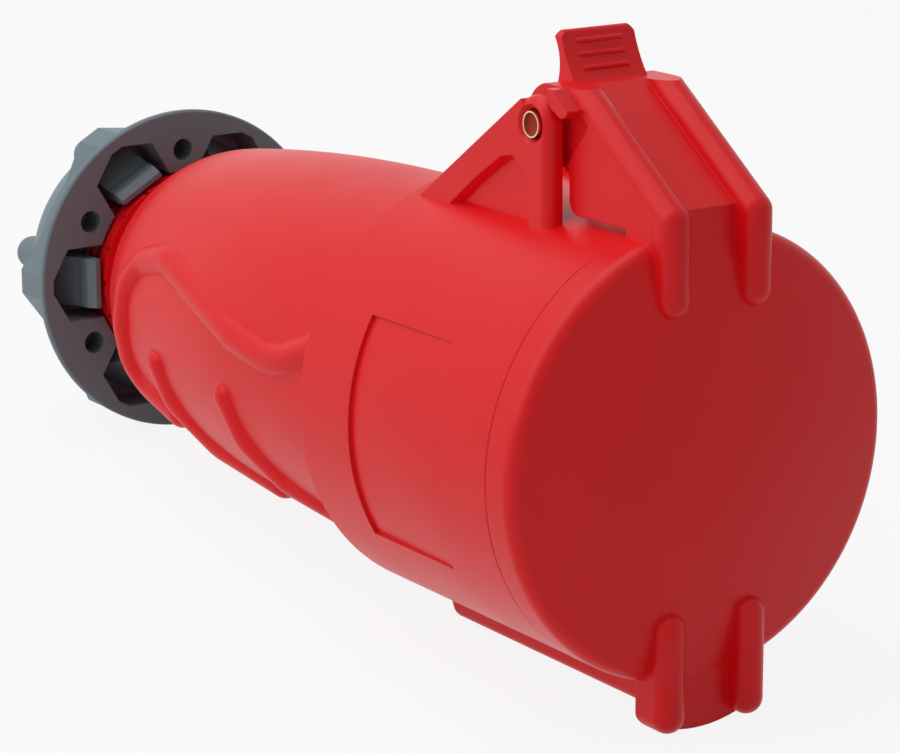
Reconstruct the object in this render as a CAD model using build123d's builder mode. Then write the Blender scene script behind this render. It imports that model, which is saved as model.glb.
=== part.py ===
from build123d import *
from math import asin, atan2, cos, degrees, hypot, pi, radians, sin, sqrt
import os

# Cable coupler with a hinged lid. All sizes are millimetres.
# Y runs along the cable and is zero at the contact face, Z is up, the hinge is on top.

# Driving sizes of the shell and lid
HOUSING_RADIUS = 41.9
HOUSING_WALL = 5.3
SEAM = -5.0
HOUSING_END = 56.7
COLLAR_DEPTH = 39.0
SHOULDER_START = 39.6
SHOULDER_END = 44.0
SOCKET_RADIUS = 38.4
SEAM_GAP = 0.25
LID_DEPTH = 7.75
LID_BULGE = 4.4
LID_DOME = 187.0
LID_FRONT_WALL = 3.0
LID_EDGE_ROUND = 3.0
LIP_THICKNESS = 1.3
LIP_LENGTH = 2.0
GASKET_WIDTH = 3.0

# Driving sizes of the hinge
PIN_Y = 17.45
PIN_Z = 57.3
PIN_RADIUS = 2.43
PIN_BORE = 2.15
ARM_HALF = 12.2
CHEEK = 3.4
EAR_INNER = 13.1
EAR_THICKNESS = 3.4
KNUCKLE_RADIUS = 7.0
SLOPE = 35.6
RIB_X = 9.06
RIB_ROUND = 3.12
RIB_RISE = 1.6

# Driving sizes of the contacts
CARRIER_RADIUS = 31.2
CARRIER_NECK = 30.2
CONTACT_CIRCLE = 19.0
PIN_SIZE = 6.0
EARTH_SIZE = 8.0
CARRIER_WALL = 2.8
BOSS_RADIUS = 29.0

# Driving sizes of the grip
GRIP_RADIUS = 36.35
GRIP_WALL = 3.0
GRIP_END = 159.0
GRIP_SWEEP = 450.0
GRIP_TAIL = 33.0
NECK_RADIUS = 19.6
NECK_BORE = 17.0
NECK_END = 193.0
THREAD_HEIGHT = 1.0
RIB_TUBE = 3.64
RIB_SUNK = 1.64
WAVE_BENDS = (22, 12, 11, 8, 8, 8, 8, 8)

# Driving sizes of the nut
NUT_FRONT = 173.2
NUT_RADIUS = 35.8
NUT_BORE = 22.4
NUT_END = 203.0
NUT_HOLE_RADIUS = 2.43
NUT_HOLE_CIRCLE = 27.1
HUB_CIRCLE = 25.6
HUB_RADIUS = 3.7
HUB_TURN = 6.0
HUB_END = 197.5
CABLE_RADIUS = 12.5

EARTH_ANGLE = -90
CONTACT_ANGLES = [EARTH_ANGLE + 72 * step for step in range(5)]
POCKETS = 6


def turned(points, mode=Mode.ADD, arc=360.0, start=0.0):
    """Turn a closed outline of (radius, station) points about the coupler's axis."""
    with BuildSketch(Plane.XY) as outline:
        with BuildLine():
            Polyline(*points, close=True)
        make_face()
    face = outline.sketch.rotate(Axis.Y, start)
    revolve(face, axis=Axis.Y, revolution_arc=arc, mode=mode)


def tube(outer, inner, start, end, mode=Mode.ADD):
    """A ring about the coupler's axis between two stations."""
    turned([(inner, start), (outer, start), (outer, end), (inner, end)], mode)


def rod(x, z, radius, start, end, mode=Mode.ADD):
    """A round bar parallel to the coupler's axis."""
    with BuildSketch(Plane((x, end, z), x_dir=(1, 0, 0), z_dir=(0, -1, 0))) as section:
        Circle(radius)
    extrude(section.sketch, amount=end - start, mode=mode)


def bar(first, last, radius, mode=Mode.ADD):
    """A round bar from one point to another."""
    path = Vector(*last) - Vector(*first)
    with BuildSketch(Plane(origin=first, z_dir=path)) as section:
        Circle(radius)
    extrude(section.sketch, amount=path.length, mode=mode)


def ball(centre, radius, mode=Mode.ADD):
    """A ball at a point."""
    with Locations(centre):
        Sphere(radius, mode=mode)


def side_slab(points, x_from, x_to, mode=Mode.ADD):
    """An outline of (station, height) points given a thickness across the coupler."""
    with BuildSketch(Plane.YZ.offset(x_from)) as outline:
        with BuildLine():
            Polyline(*points, close=True)
        make_face()
    extrude(outline.sketch, amount=x_to - x_from, mode=mode)


def polar(radius, angle):
    """The x and z of a point at a radius and an angle from +X towards +Z."""
    return radius * cos(radians(angle)), radius * sin(radians(angle))


# Front housing: shell, keel with the keyway, hinge ears with their braces
bore = HOUSING_RADIUS - HOUSING_WALL
lip_out = bore + LIP_THICKNESS
lip_front = SEAM - LIP_LENGTH
keel_top = HOUSING_RADIUS + 0.4
keel_bottom = HOUSING_RADIUS + 4.2
keel_half = 11.3
keel_front = SEAM - LID_DEPTH - SEAM_GAP + 3.9
keel_end = HOUSING_END - 5.5
keel_corner = 6.5
ear_outer = EAR_INNER + EAR_THICKNESS
ear_round = 5.2
ear_edge = 2.1
brace_angle = 34.9
brace_end = HOUSING_END - 3.5
panel_front = 13.0
panel_end = 39.3

with BuildPart() as keel:
    with BuildSketch(Plane.XZ.offset(-keel_end)) as keel_section:
        Circle(keel_bottom)
        with Locations((0, -HOUSING_RADIUS)):
            Rectangle(2 * keel_half, 14, mode=Mode.INTERSECT)
        fillet(keel_section.vertices().filter_by_position(Axis.Y, -60, -HOUSING_RADIUS - 1), 1.5)
    extrude(amount=keel_end - keel_front)
    with BuildSketch(Plane.YZ) as keel_side:
        with BuildLine():
            Polyline(
                (keel_front, -34),
                (keel_front, -keel_bottom - 1),
                (keel_end - keel_corner, -keel_bottom - 1),
                (keel_end - keel_corner, -keel_bottom),
            )
            RadiusArc(
                (keel_end - keel_corner, -keel_bottom),
                (keel_end, -keel_bottom + keel_corner),
                -keel_corner,
            )
            Polyline((keel_end, -keel_bottom + keel_corner), (keel_end, -34), (keel_front, -34))
        make_face()
    extrude(keel_side.sketch, amount=20, both=True, mode=Mode.INTERSECT)
    tube(keel_top, 0, keel_front - 1, SEAM, Mode.SUBTRACT)

brace_top = (PIN_Y + ear_round * sin(radians(brace_angle)), PIN_Z + ear_round * cos(radians(brace_angle)))
brace_low = brace_top[1] - (brace_end - brace_top[0]) * sin(radians(brace_angle)) / cos(radians(brace_angle))
ear_front = PIN_Y - ear_round
ear_back = PIN_Y + ear_round
foot = sqrt(HOUSING_RADIUS**2 - ear_outer**2) - 1
recess_depth = 1.9
# Each recess corner at the ear's face, then where it lands on the recess floor
recess_corners = [
    ((17.8, 36.0), (18.5, 36.0)),
    ((18.0, 45.3), (18.7, 45.1)),
    ((18.9, 47.5), (19.5, 47.0)),
    ((20.7, 49.5), (21.2, 48.7)),
    ((23.2, 51.0), (23.4, 50.0)),
    ((26.8, 50.1), (26.2, 49.3)),
    ((34.9, 44.9), (34.2, 44.2)),
    ((46.8, 36.0), (45.2, 36.0)),
]

with BuildPart() as ear:
    with BuildSketch(Plane.YZ.offset(-ear_outer)) as leg_side:
        with BuildLine():
            Line((ear_front, foot), (ear_front, PIN_Z))
            ThreePointArc((ear_front, PIN_Z), (PIN_Y, PIN_Z + ear_round), (ear_back, PIN_Z))
            Polyline((ear_back, PIN_Z), (ear_back, foot), (ear_front, foot))
        make_face()
    extrude(amount=EAR_THICKNESS)
    outer_edges = ear.faces().sort_by(Axis.X)[0].edges()
    fillet(outer_edges.filter_by_position(Axis.Z, foot + 1, 100), ear_edge)
    side_slab(
        [(PIN_Y, PIN_Z), brace_top, (brace_end, brace_low), (brace_end, foot), (PIN_Y, foot)],
        -ear_outer,
        -EAR_INNER,
    )
    with Locations((-ear_outer + 3, PIN_Y, PIN_Z)):
        Cylinder(PIN_RADIUS + 0.02, 12, rotation=(0, 90, 0), mode=Mode.SUBTRACT)
    with Locations((-ear_outer, PIN_Y, PIN_Z)):
        Cylinder(2.85, 4.8, rotation=(0, 90, 0), mode=Mode.SUBTRACT)
    with Locations((-ear_outer + 0.4, PIN_Y, PIN_Z)):
        Cone(3.82, 2.85, 1.0, rotation=(0, 90, 0), mode=Mode.SUBTRACT)
    with BuildSketch(Plane.YZ.offset(-ear_outer)) as recess_rim:
        with BuildLine():
            Polyline(*[corner[0] for corner in recess_corners], close=True)
        make_face()
    with BuildSketch(Plane.YZ.offset(-ear_outer + recess_depth)) as recess_floor:
        with BuildLine():
            Polyline(*[corner[1] for corner in recess_corners], close=True)
        make_face()
    loft([recess_rim.sketch, recess_floor.sketch], ruled=True, mode=Mode.SUBTRACT)

with BuildPart() as front_housing:
    turned(
        [
            (bore, lip_front),
            (lip_out, lip_front),
            (lip_out, SEAM),
            (HOUSING_RADIUS - 0.3, SEAM),
            (HOUSING_RADIUS, SEAM + 0.3),
            (HOUSING_RADIUS, HOUSING_END - 0.4),
            (HOUSING_RADIUS - 0.4, HOUSING_END),
            (SOCKET_RADIUS, HOUSING_END),
            (SOCKET_RADIUS, SHOULDER_END),
            (CARRIER_NECK + 0.3, SHOULDER_END),
            (CARRIER_NECK + 0.3, SHOULDER_START),
            (bore, SHOULDER_START),
        ]
    )
    add(keel.part)
    tube(SOCKET_RADIUS, 0, SHOULDER_END, HOUSING_END, Mode.SUBTRACT)
    tube(bore, 0, lip_front - 5, SHOULDER_START, Mode.SUBTRACT)
    with BuildSketch(Plane.XZ.offset(-SHOULDER_START)) as keyway:
        Circle(keel_top)
        with Locations((0, -36)):
            Rectangle(15, 14, mode=Mode.INTERSECT)
    extrude(keyway.sketch, amount=SHOULDER_START - SEAM + 4, mode=Mode.SUBTRACT)
    add(ear.part)
    mirror(ear.part, about=Plane.YZ)
    for side in (0, 180):
        turned(
            [
                (HOUSING_RADIUS - 0.3, panel_front),
                (HOUSING_RADIUS + 1, panel_front),
                (HOUSING_RADIUS + 1, panel_end),
                (HOUSING_RADIUS - 0.7, panel_end),
            ],
            Mode.SUBTRACT,
            60,
            side - 30,
        )
    for lug in range(3):
        lug_angle = 30 + 120 * lug
        turned(
            [(SOCKET_RADIUS - 1, 53.0), (40.1, 53.0), (40.1, 55.8), (SOCKET_RADIUS - 1, 55.8)],
            Mode.SUBTRACT,
            48,
            lug_angle,
        )
        turned(
            [(SOCKET_RADIUS - 1, 55), (40.1, 55), (40.1, HOUSING_END + 1), (SOCKET_RADIUS - 1, HOUSING_END + 1)],
            Mode.SUBTRACT,
            24,
            lug_angle + 24,
        )
    for angle in (90, 210, 330):
        x, z = polar(34.8, angle)
        rod(x, z, 1.55, SHOULDER_START + 1.2, SHOULDER_END, Mode.SUBTRACT)
front_housing.part.label = "front_housing"
export_step(front_housing.part, "parts/front_housing.step")

# Hinged lid: cap, arm to the hinge, crested ribs, side wings, thumb tab and lower fins
lid_radius = HOUSING_RADIUS + 0.1
lid_rear = SEAM - SEAM_GAP
lid_face = lid_rear - LID_DEPTH
cavity = lip_out + 0.7
bend_z = 45.35
flat_z = PIN_Z + 6.8
slope_y = cos(radians(SLOPE))
slope_z = sin(radians(SLOPE))
flat_y = lid_face + (flat_z - bend_z) * slope_y / slope_z
arm_under = HOUSING_RADIUS + 1.45
arm_back = PIN_Y - 6.05
knuckle_y = sqrt(KNUCKLE_RADIUS**2 - (flat_z - PIN_Z) ** 2)
crest = lid_face - RIB_RISE
floor_edge = cavity - GASKET_WIDTH - 1.5

dome_centre = lid_face - LID_BULGE + LID_DOME

fin_top = -26.86
fin_bottom = -49.5
fin_back = lid_face + 3.65

with BuildPart() as fin:
    with BuildSketch(Plane.XZ.offset(-fin_back)) as fin_section:
        with Locations((0, (fin_top + fin_bottom) / 2)):
            SlotOverall(fin_top - fin_bottom, 2 * RIB_ROUND, rotation=90)
    extrude(amount=fin_back - crest)
    with BuildSketch(Plane.YZ) as fin_side:
        with BuildLine():
            Polyline(
                (fin_back - 2.6, fin_bottom),
                (crest - 5, fin_bottom),
                (crest - 5, fin_top + 1),
                (fin_back, fin_top + 1),
                (fin_back, fin_bottom + 2.6),
            )
            RadiusArc((fin_back, fin_bottom + 2.6), (fin_back - 2.6, fin_bottom), 2.6)
        make_face()
    extrude(fin_side.sketch, amount=6, both=True, mode=Mode.INTERSECT)
    low = (0, crest, fin_bottom + RIB_ROUND)
    high = (0, crest, fin_top - RIB_ROUND)
    bar(low, high, RIB_ROUND)
    ball(low, RIB_ROUND)
    ball(high, RIB_ROUND)

with BuildPart() as rib:
    start = (0, crest, 30.0)
    turn = (0, crest, bend_z - RIB_RISE * slope_z / slope_y)
    end = (0, turn[1] + 50 * slope_y, turn[2] + 50 * slope_z)
    bar(start, turn, RIB_ROUND)
    ball(start, RIB_ROUND)
    ball(turn, RIB_ROUND)
    bar(turn, end, RIB_ROUND)
    with BuildSketch(Plane.XZ.offset(-lid_face - 0.5)) as rib_foot:
        with Locations((0, start[2])):
            Circle(RIB_ROUND)
        with Locations((0, (start[2] + turn[2]) / 2)):
            Rectangle(2 * RIB_ROUND, turn[2] - start[2])
    extrude(rib_foot.sketch, amount=RIB_RISE + 0.5)
    side_slab(
        [(lid_face + 0.5, turn[2]), (crest, turn[2]), (lid_face, bend_z), (lid_face + 0.5, bend_z)],
        -RIB_ROUND,
        RIB_ROUND,
    )
    with Locations((0, 0, flat_z + 30)):
        Box(20, 120, 60, mode=Mode.SUBTRACT)

with BuildPart() as wing:
    over_ear = ear_round + 0.7
    wing_back = (13.9, PIN_Z + sqrt(over_ear**2 - (PIN_Y - 13.9) ** 2))
    wing_tip = (PIN_Y - sqrt(over_ear**2 - 3.2**2), PIN_Z + 3.2)
    with BuildSketch(Plane.YZ.offset(-ARM_HALF - 3.3)) as wing_side:
        with BuildLine():
            RadiusArc(wing_tip, wing_back, over_ear)
            Polyline(wing_back, (wing_back[0], flat_z), (11.9, flat_z), (7.6, 60.8))
            ThreePointArc((7.6, 60.8), (9.2, 59.4), (11.0, 59.95))
            Line((11.0, 59.95), wing_tip)
        make_face()
    extrude(amount=3.3 + 1)

with BuildPart() as tab:
    with BuildSketch(Plane.YZ) as tab_side:
        with BuildLine():
            ThreePointArc((14.9, 63.5), (17.9, 68.0), (19.72, 72.45))
            ThreePointArc((19.72, 72.45), (20.6, 73.1), (21.6, 71.8))
            ThreePointArc((21.6, 71.8), (20.15, 67.2), (20.8, 63.5))
            Line((20.8, 63.5), (14.9, 63.5))
        make_face()
    extrude(tab_side.sketch, amount=8.1, both=True)
    for side in (-1, 1):
        with BuildSketch(Plane.XZ.offset(-30)) as corner:
            with BuildLine():
                Polyline(
                    (side * 6.9, 73.3), (side * 8.2, 73.3), (side * 8.2, 71.9), (side * 8.1, 71.9), close=True
                )
            make_face()
        extrude(corner.sketch, amount=20, mode=Mode.SUBTRACT)
    for grip_y, grip_z in ((19.3, 71.1), (18.3, 68.75), (16.95, 66.45)):
        bar((-4.7, grip_y, grip_z), (4.7, grip_y, grip_z), 0.5)
        ball((-4.7, grip_y, grip_z), 0.5)
        ball((4.7, grip_y, grip_z), 0.5)

# The lid's round cap with its domed face, and the domed space behind that face
with BuildPart() as lid_cap:
    with Locations((0, dome_centre, 0)):
        Sphere(LID_DOME)
    with Locations((0, lid_rear - 15, 0)):
        Cylinder(lid_radius, 30, rotation=(90, 0, 0), mode=Mode.INTERSECT)
    fillet(lid_cap.edges().sort_by(Axis.Y)[0], LID_EDGE_ROUND)

with BuildPart() as lid_hollow:
    with Locations((0, dome_centre, 0)):
        Sphere(LID_DOME - LID_FRONT_WALL)
    with Locations((0, lid_rear - 14, 0)):
        Cylinder(floor_edge, 30, rotation=(90, 0, 0), mode=Mode.INTERSECT)

with BuildPart() as hinged_lid:
    add(lid_cap.part)
    # The arm's side: up the slope, along the flat, round the knuckle, then back underneath
    with BuildSketch(Plane.YZ) as arm_side:
        with BuildLine():
            Polyline(
                (lid_face, 39),
                (lid_face, bend_z),
                (flat_y, flat_z),
                (PIN_Y + knuckle_y, flat_z),
            )
            RadiusArc((PIN_Y + knuckle_y, flat_z), (PIN_Y + 1.4, PIN_Z - 6.86), KNUCKLE_RADIUS)
            Polyline((PIN_Y + 1.4, PIN_Z - 6.86), (arm_back, PIN_Z - 8.3), (arm_back, 39), (lid_face, 39))
        make_face()
    extrude(arm_side.sketch, amount=ARM_HALF, both=True)
    turned([(0, lid_rear), (arm_under, lid_rear), (arm_under, 40), (0, 40)], Mode.SUBTRACT)
    with BuildSketch(Plane.YZ) as corner_round:
        with BuildLine():
            corner_z = 41.6
            Line((arm_back - 2.6, corner_z), (arm_back + 0.1, corner_z))
            Line((arm_back + 0.1, corner_z), (arm_back + 0.1, corner_z + 2.6))
            Line((arm_back + 0.1, corner_z + 2.6), (arm_back, corner_z + 2.6))
            RadiusArc((arm_back, corner_z + 2.6), (arm_back - 2.6, corner_z), 2.6)
        make_face()
    extrude(corner_round.sketch, amount=20, both=True, mode=Mode.SUBTRACT)
    # The pocket between the cheeks holds the spring
    inner = ARM_HALF - CHEEK
    pocket_y = lid_rear + 3
    plate = 3.0 / slope_y
    plate_low = bend_z + (pocket_y - lid_face) * slope_z / slope_y - plate
    shell_in = KNUCKLE_RADIUS - 2
    plate_top = (PIN_Y - 3.0, PIN_Z + sqrt(shell_in**2 - 9))
    side_slab(
        [
            (pocket_y, 36),
            (pocket_y, plate_low),
            (plate_top[0] - 0.6, plate_top[1] - 0.5),
            plate_top,
            (PIN_Y, PIN_Z),
            (PIN_Y + 10, PIN_Z),
            (PIN_Y + 10, 36),
        ],
        -inner,
        inner,
        Mode.SUBTRACT,
    )
    with Locations((0, PIN_Y, PIN_Z)):
        Cylinder(shell_in, 2 * inner, rotation=(0, 90, 0), mode=Mode.SUBTRACT)
        Cylinder(PIN_RADIUS + 0.07, 40, rotation=(0, 90, 0), mode=Mode.SUBTRACT)
    for side in (-1, 1):
        side_slab(
            [(8.02, 60.64), (5.17, 59.0), (10.62, 52.24), (14, 48.0), (24, 48.0), (24, 60.64)],
            side * (ARM_HALF - 0.8),
            side * (ARM_HALF + 1),
            Mode.SUBTRACT,
        )
    with Locations((-RIB_X, 0, 0), (RIB_X, 0, 0)):
        add(rib.part)
    with Locations((-RIB_X, 0, 0), (RIB_X, 0, 0)):
        add(fin.part)
    add(wing.part)
    add(tab.part)
    with BuildSketch(Plane.XZ.offset(-fin_back)) as apron:
        with Locations((0, -22.7)):
            Circle(28)
        Circle(lid_radius - 2, mode=Mode.SUBTRACT)
        with Locations((0, -45)):
            Rectangle(2 * RIB_X, 12, mode=Mode.INTERSECT)
    extrude(apron.sketch, amount=fin_back - lid_face)
    tube(cavity, 0, lid_face + LID_FRONT_WALL, lid_rear + 1, Mode.SUBTRACT)
    add(lid_hollow.part, mode=Mode.SUBTRACT)
hinged_lid.part.label = "hinged_lid"
export_step(hinged_lid.part, "parts/hinged_lid.step")

# Flat gasket in the lid, closing on the housing's lip
gasket_out = cavity - 0.1
gasket_in = gasket_out - GASKET_WIDTH
with BuildPart() as lid_gasket:
    tube(gasket_out, gasket_in, lid_face + LID_FRONT_WALL, lip_front - 0.25)
lid_gasket.part.label = "lid_gasket"
export_step(lid_gasket.part, "parts/lid_gasket.step")

# Hollow hinge pin, its ends level with the ears
with BuildPart() as hinge_pin:
    with Locations((0, PIN_Y, PIN_Z)):
        Cylinder(PIN_RADIUS, 2 * ear_outer - 0.1, rotation=(0, 90, 0))
        Cylinder(PIN_BORE, 2 * ear_outer + 1, rotation=(0, 90, 0), mode=Mode.SUBTRACT)
hinge_pin.part.label = "hinge_pin"
export_step(hinge_pin.part, "parts/hinge_pin.step")

# Lid spring: turns side by side about the pin, one leg on the housing, the other under the lid
spring_mean = 4.0
wire = 0.5
spring_turns = 12
leg_angle = -25.0
lid_leg_angle = 90 + SLOPE
coil_half = spring_turns * wire


def on_coil(angle, along, x):
    """A point on the coil at an angle from +Y towards +Z, then straight on by a length."""
    y = PIN_Y + spring_mean * cos(radians(angle)) - along * sin(radians(angle))
    z = PIN_Z + spring_mean * sin(radians(angle)) + along * cos(radians(angle))
    return x, y, z


winding = [(-coil_half, spring_mean - wire)]
for turn_number in range(spring_turns):
    turn_x = -coil_half + 2 * wire * turn_number
    winding.append((turn_x, spring_mean + 0.5 * wire))
    winding.append((turn_x + 0.6 * wire, spring_mean + wire))
    winding.append((turn_x + 1.4 * wire, spring_mean + wire))
winding.append((coil_half, spring_mean + 0.5 * wire))
winding.append((coil_half, spring_mean - wire))
housing_top = sqrt(HOUSING_RADIUS**2 - coil_half**2) + wire + 0.1
leg_drop = on_coil(leg_angle, 0, 0)[2] - housing_top
leg_length = leg_drop / cos(radians(leg_angle))
leg_x = coil_half - wire
with BuildPart() as lid_spring:
    with BuildSketch(Plane(origin=(0, PIN_Y, PIN_Z), x_dir=(1, 0, 0), z_dir=(0, -1, 0))) as coil_outline:
        with BuildLine():
            Polyline(*winding, close=True)
        make_face()
    revolve(axis=Axis((0, PIN_Y, PIN_Z), (1, 0, 0)))
    bar(on_coil(leg_angle, 0.4, -leg_x), on_coil(leg_angle, -leg_length, -leg_x), 0.9 * wire)
    bar(on_coil(lid_leg_angle, -0.4, leg_x), on_coil(lid_leg_angle, 11, leg_x), 0.9 * wire)
lid_spring.part.label = "lid_spring"
export_step(lid_spring.part, "parts/lid_spring.step")

# Contact carrier: the wall the plug's collar slides over, with its flange
flange_out = SOCKET_RADIUS - 0.3
flange_end = SHOULDER_END + 3
boss_end = flange_end + 16
screw_circle = 34.8
carrier_in = CARRIER_RADIUS - CARRIER_WALL
face_end = 3.0


def is_earth(angle):
    """Whether the contact at this angle is the earth."""
    return angle == EARTH_ANGLE


def contact_radius(angle):
    """Radius of the mating pin at this angle."""
    return (EARTH_SIZE if is_earth(angle) else PIN_SIZE) / 2


with BuildPart() as contact_carrier:
    tube(CARRIER_RADIUS, carrier_in, 0, COLLAR_DEPTH)
    tube(CARRIER_NECK, carrier_in, COLLAR_DEPTH, SHOULDER_END)
    tube(flange_out, carrier_in, SHOULDER_END, flange_end)
    for angle in (90, 210, 330):
        x, z = polar(screw_circle, angle)
        rod(x, z, 1.7, SHOULDER_END - 1, flange_end + 1, Mode.SUBTRACT)
contact_carrier.part.label = "contact_carrier"
export_step(contact_carrier.part, "parts/contact_carrier.step")

# Contact face with an entry hole for each pin
with BuildPart() as contact_face:
    tube(carrier_in - 0.05, 0, 0, face_end)
    for angle in CONTACT_ANGLES:
        x, z = polar(CONTACT_CIRCLE, angle)
        rod(x, z, contact_radius(angle) + 0.6, -1, face_end + 1, Mode.SUBTRACT)
contact_face.part.label = "contact_face"
export_step(contact_face.part, "parts/contact_face.step")

# Wells, one insulating tube round each contact
with BuildPart() as contact_wells:
    for angle in CONTACT_ANGLES:
        x, z = polar(CONTACT_CIRCLE, angle)
        rod(x, z, contact_radius(angle) + 3.5, face_end, flange_end)
        rod(x, z, contact_radius(angle) + 2.1, face_end - 1, flange_end + 1, Mode.SUBTRACT)
contact_wells.part.label = "contact_wells"
export_step(contact_wells.part, "parts/contact_wells.step")

# Terminal block with a chamber and two screw holes for each contact
with BuildPart() as terminal_block:
    tube(BOSS_RADIUS, 0, flange_end, boss_end)
    for angle in CONTACT_ANGLES:
        x, z = polar(CONTACT_CIRCLE, angle)
        rod(x, z, contact_radius(angle) + 2.1, flange_end - 1, boss_end + 1, Mode.SUBTRACT)
        for station in (51, 57):
            a, b = polar(CONTACT_CIRCLE + 2, angle)
            c, d = polar(BOSS_RADIUS + 3, angle)
            bar((a, station, b), (c, station, d), 2.3, Mode.SUBTRACT)
    rod(0, 0, 1.45, boss_end - 10, boss_end + 1, Mode.SUBTRACT)
terminal_block.part.label = "terminal_block"
export_step(terminal_block.part, "parts/terminal_block.step")

# Rear plate of the carrier, with a hole for each core
plate_end = boss_end + 3
with BuildPart() as carrier_rear_plate:
    tube(BOSS_RADIUS, 0, boss_end, plate_end)
    for angle in CONTACT_ANGLES:
        x, z = polar(CONTACT_CIRCLE, angle)
        rod(x, z, contact_radius(angle) + 0.2, boss_end - 1, plate_end + 1, Mode.SUBTRACT)
    rod(0, 0, 1.6, boss_end - 1, plate_end + 1, Mode.SUBTRACT)
carrier_rear_plate.part.label = "carrier_rear_plate"
export_step(carrier_rear_plate.part, "parts/carrier_rear_plate.step")

with BuildPart() as rear_plate_screw:
    rod(0, 0, 1.4, boss_end - 8, plate_end)
    rod(0, 0, 2.8, plate_end, plate_end + 1.8)
    with Locations((0, plate_end + 1.8, 0)):
        Box(0.7, 1.4, 6, mode=Mode.SUBTRACT)
        Box(6, 1.4, 0.7, mode=Mode.SUBTRACT)
rear_plate_screw.part.label = "rear_plate_screw"
export_step(rear_plate_screw.part, "parts/rear_plate_screw.step")

# Contact sleeves: a split tube for the mating pin in front, a drilled terminal behind
sleeve_front = 3.2
terminal_front = 37.0
terminal_end = boss_end - 0.1


def make_sleeve(angle):
    """Build the sleeve at one angle in the current part."""
    x, z = polar(CONTACT_CIRCLE, angle)
    size = contact_radius(angle)
    rod(x, z, size + 1.2, sleeve_front, terminal_front + 1)
    rod(x, z, size + 2.0, terminal_front, terminal_end)
    rod(x, z, size + 0.1, sleeve_front - 1, terminal_front - 4, Mode.SUBTRACT)
    rod(x, z, size - 0.2, terminal_end - 18, terminal_end + 1, Mode.SUBTRACT)
    with Locations(Location((x, sleeve_front + 9, z), (0, -angle, 0))):
        Box(3 * size + 4, 20, 1.0, mode=Mode.SUBTRACT)
    for station in (51, 57):
        a, b = polar(CONTACT_CIRCLE, angle)
        c, d = polar(CONTACT_CIRCLE + size + 4, angle)
        bar((a, station, b), (c, station, d), 2.05, Mode.SUBTRACT)


with BuildPart() as contact_earth:
    make_sleeve(CONTACT_ANGLES[0])
contact_earth.part.label = "contact_earth"
export_step(contact_earth.part, "parts/contact_earth.step")

with BuildPart() as contact_line_1:
    make_sleeve(CONTACT_ANGLES[1])
contact_line_1.part.label = "contact_line_1"
export_step(contact_line_1.part, "parts/contact_line_1.step")

with BuildPart() as contact_line_2:
    make_sleeve(CONTACT_ANGLES[2])
contact_line_2.part.label = "contact_line_2"
export_step(contact_line_2.part, "parts/contact_line_2.step")

with BuildPart() as contact_line_3:
    make_sleeve(CONTACT_ANGLES[3])
contact_line_3.part.label = "contact_line_3"
export_step(contact_line_3.part, "parts/contact_line_3.step")

with BuildPart() as contact_neutral:
    make_sleeve(CONTACT_ANGLES[4])
contact_neutral.part.label = "contact_neutral"
export_step(contact_neutral.part, "parts/contact_neutral.step")

# Spring clips, open rings that press the split sleeves together
with BuildPart() as contact_clips:
    for angle in CONTACT_ANGLES:
        x, z = polar(CONTACT_CIRCLE, angle)
        size = contact_radius(angle)
        rod(x, z, size + 1.7, 6.5, 10.5)
        rod(x, z, size + 1.2, 6, 11, Mode.SUBTRACT)
        with Locations(Location((x, 8.5, z), (0, -angle, 0))):
            with Locations((size + 1.5, 0, 0)):
                Box(2, 6, 2, mode=Mode.SUBTRACT)
contact_clips.part.label = "contact_clips"
export_step(contact_clips.part, "parts/contact_clips.step")

with BuildPart() as terminal_screws:
    for angle in CONTACT_ANGLES:
        for station in (51, 57):
            a, b = polar(CONTACT_CIRCLE + 1.5, angle)
            c, d = polar(BOSS_RADIUS - 1.5, angle)
            bar((a, station, b), (c, station, d), 2.0)
            with Locations(Location((c, station, d), (0, -angle, 0))):
                Box(1.6, 0.6, 5, mode=Mode.SUBTRACT)
terminal_screws.part.label = "terminal_screws"
export_step(terminal_screws.part, "parts/terminal_screws.step")

with BuildPart() as carrier_screws:
    for angle in (90, 210, 330):
        x, z = polar(screw_circle, angle)
        rod(x, z, 1.5, SHOULDER_START + 1.6, flange_end)
        rod(x, z, 2.6, flange_end, flange_end + 2)
        with Locations((x, flange_end + 2, z)):
            Box(0.7, 1.6, 4, mode=Mode.SUBTRACT)
            Box(4, 1.6, 0.7, mode=Mode.SUBTRACT)
carrier_screws.part.label = "carrier_screws"
export_step(carrier_screws.part, "parts/carrier_screws.step")

# Rear grip: a tapered handle, bayonet lugs in front, a threaded neck behind
spigot_front = HOUSING_END - 7.3
spigot_out = SOCKET_RADIUS - 0.3
sweep_start = 79.0
sweep_stop = 147.0
sweep_turn = degrees(asin((sweep_stop - sweep_start) / GRIP_SWEEP))
tail_r = GRIP_RADIUS - GRIP_SWEEP + (GRIP_SWEEP - GRIP_TAIL) * cos(radians(sweep_turn))
tail_y = sweep_start + (GRIP_SWEEP - GRIP_TAIL) * sin(radians(sweep_turn))
tail_turn = degrees(asin((GRIP_END - tail_y) / GRIP_TAIL))
inner_tail = GRIP_TAIL - GRIP_WALL
inner_stop = GRIP_END - 3.0
inner_turn = degrees(asin((inner_stop - tail_y) / inner_tail))
neck_shoulder = GRIP_END + 2.5
lip_end = GRIP_END + 6.0
seal_station = spigot_front + 1.8
lug_front = 53.25
lug_end = 55.55


def grip_radius(station):
    """Outer radius of the plain grip at a station."""
    if station <= sweep_start:
        return GRIP_RADIUS
    if station <= sweep_stop:
        return GRIP_RADIUS - GRIP_SWEEP + sqrt(GRIP_SWEEP**2 - (station - sweep_start) ** 2)
    return tail_r + sqrt(GRIP_TAIL**2 - (station - tail_y) ** 2)


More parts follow.
